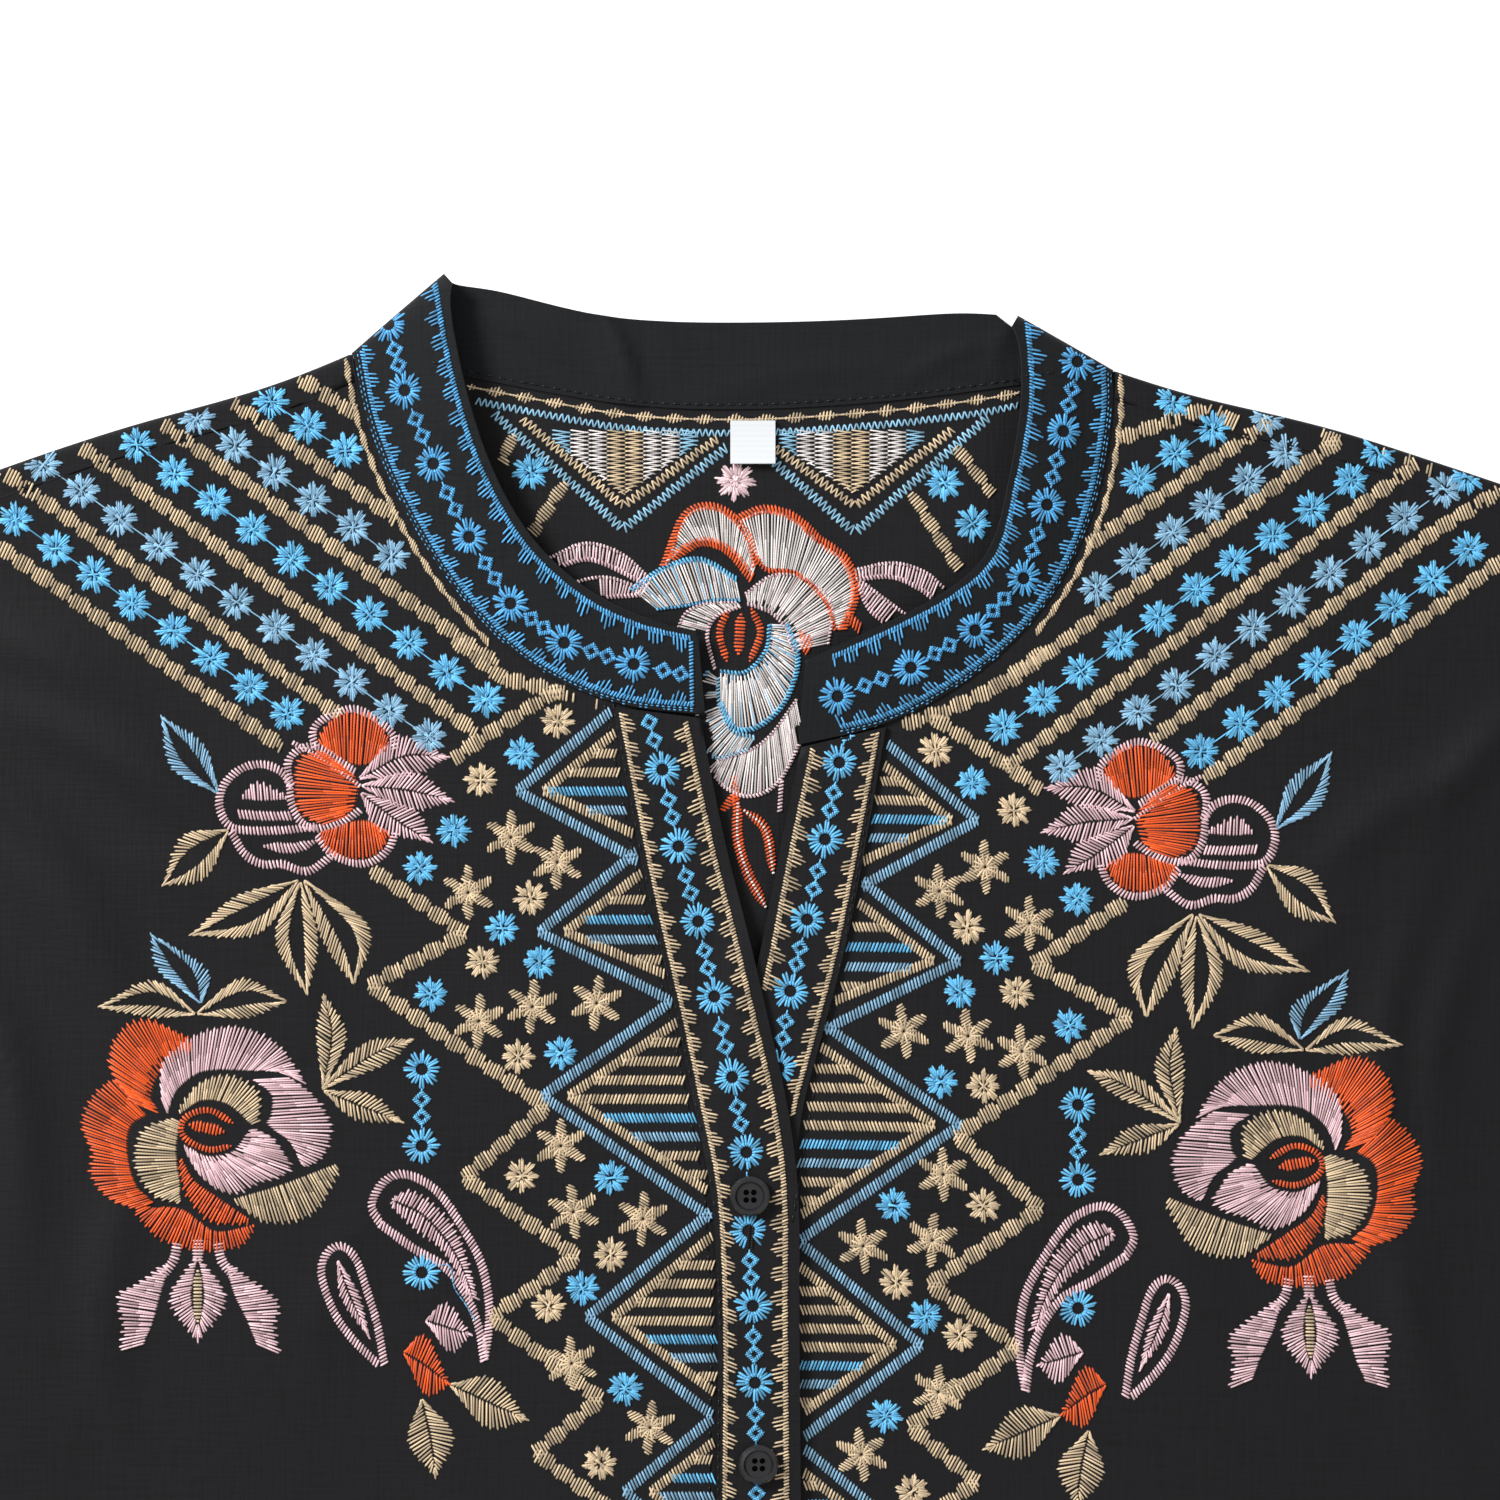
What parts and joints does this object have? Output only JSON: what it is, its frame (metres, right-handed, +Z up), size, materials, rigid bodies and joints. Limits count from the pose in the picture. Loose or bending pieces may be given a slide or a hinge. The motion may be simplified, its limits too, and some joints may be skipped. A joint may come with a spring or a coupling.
{
  "type": "embroidered blouse",
  "caption": "Embroidered black band-collar blouse with a half placket and three-quarter sleeves, laid out flat with its front up.",
  "frame": {"origin": "middle of the laid-out blouse's footprint, on the surface that it lies on", "axes": "+X to the right across the laid-out blouse as seen from above, +Y from the hem towards the collar, +Z up, away from the surface"},
  "size_m": [1.1506, 0.7584, 0.0098],
  "materials": {
    "black_cloth": "plain woven cotton blend with a faint slub, dyed black",
    "black_button": "moulded, polished on the rim",
    "white_label": "woven satin ribbon, blank",
    "embroidery_thread": "rayon embroidery thread in blue, grey-blue, tan, pink and orange"
  },
  "bodies": {
    "root": {"back_panel": "black_cloth", "front_panel": "black_cloth", "sleeve_left": "black_cloth", "sleeve_right": "black_cloth", "collar_band": "black_cloth", "placket_under": "black_cloth", "placket_over": "black_cloth", "size_label": "white_label", "button_upper": "black_button", "button_lower": "black_button"}
  },
  "joints": []
}
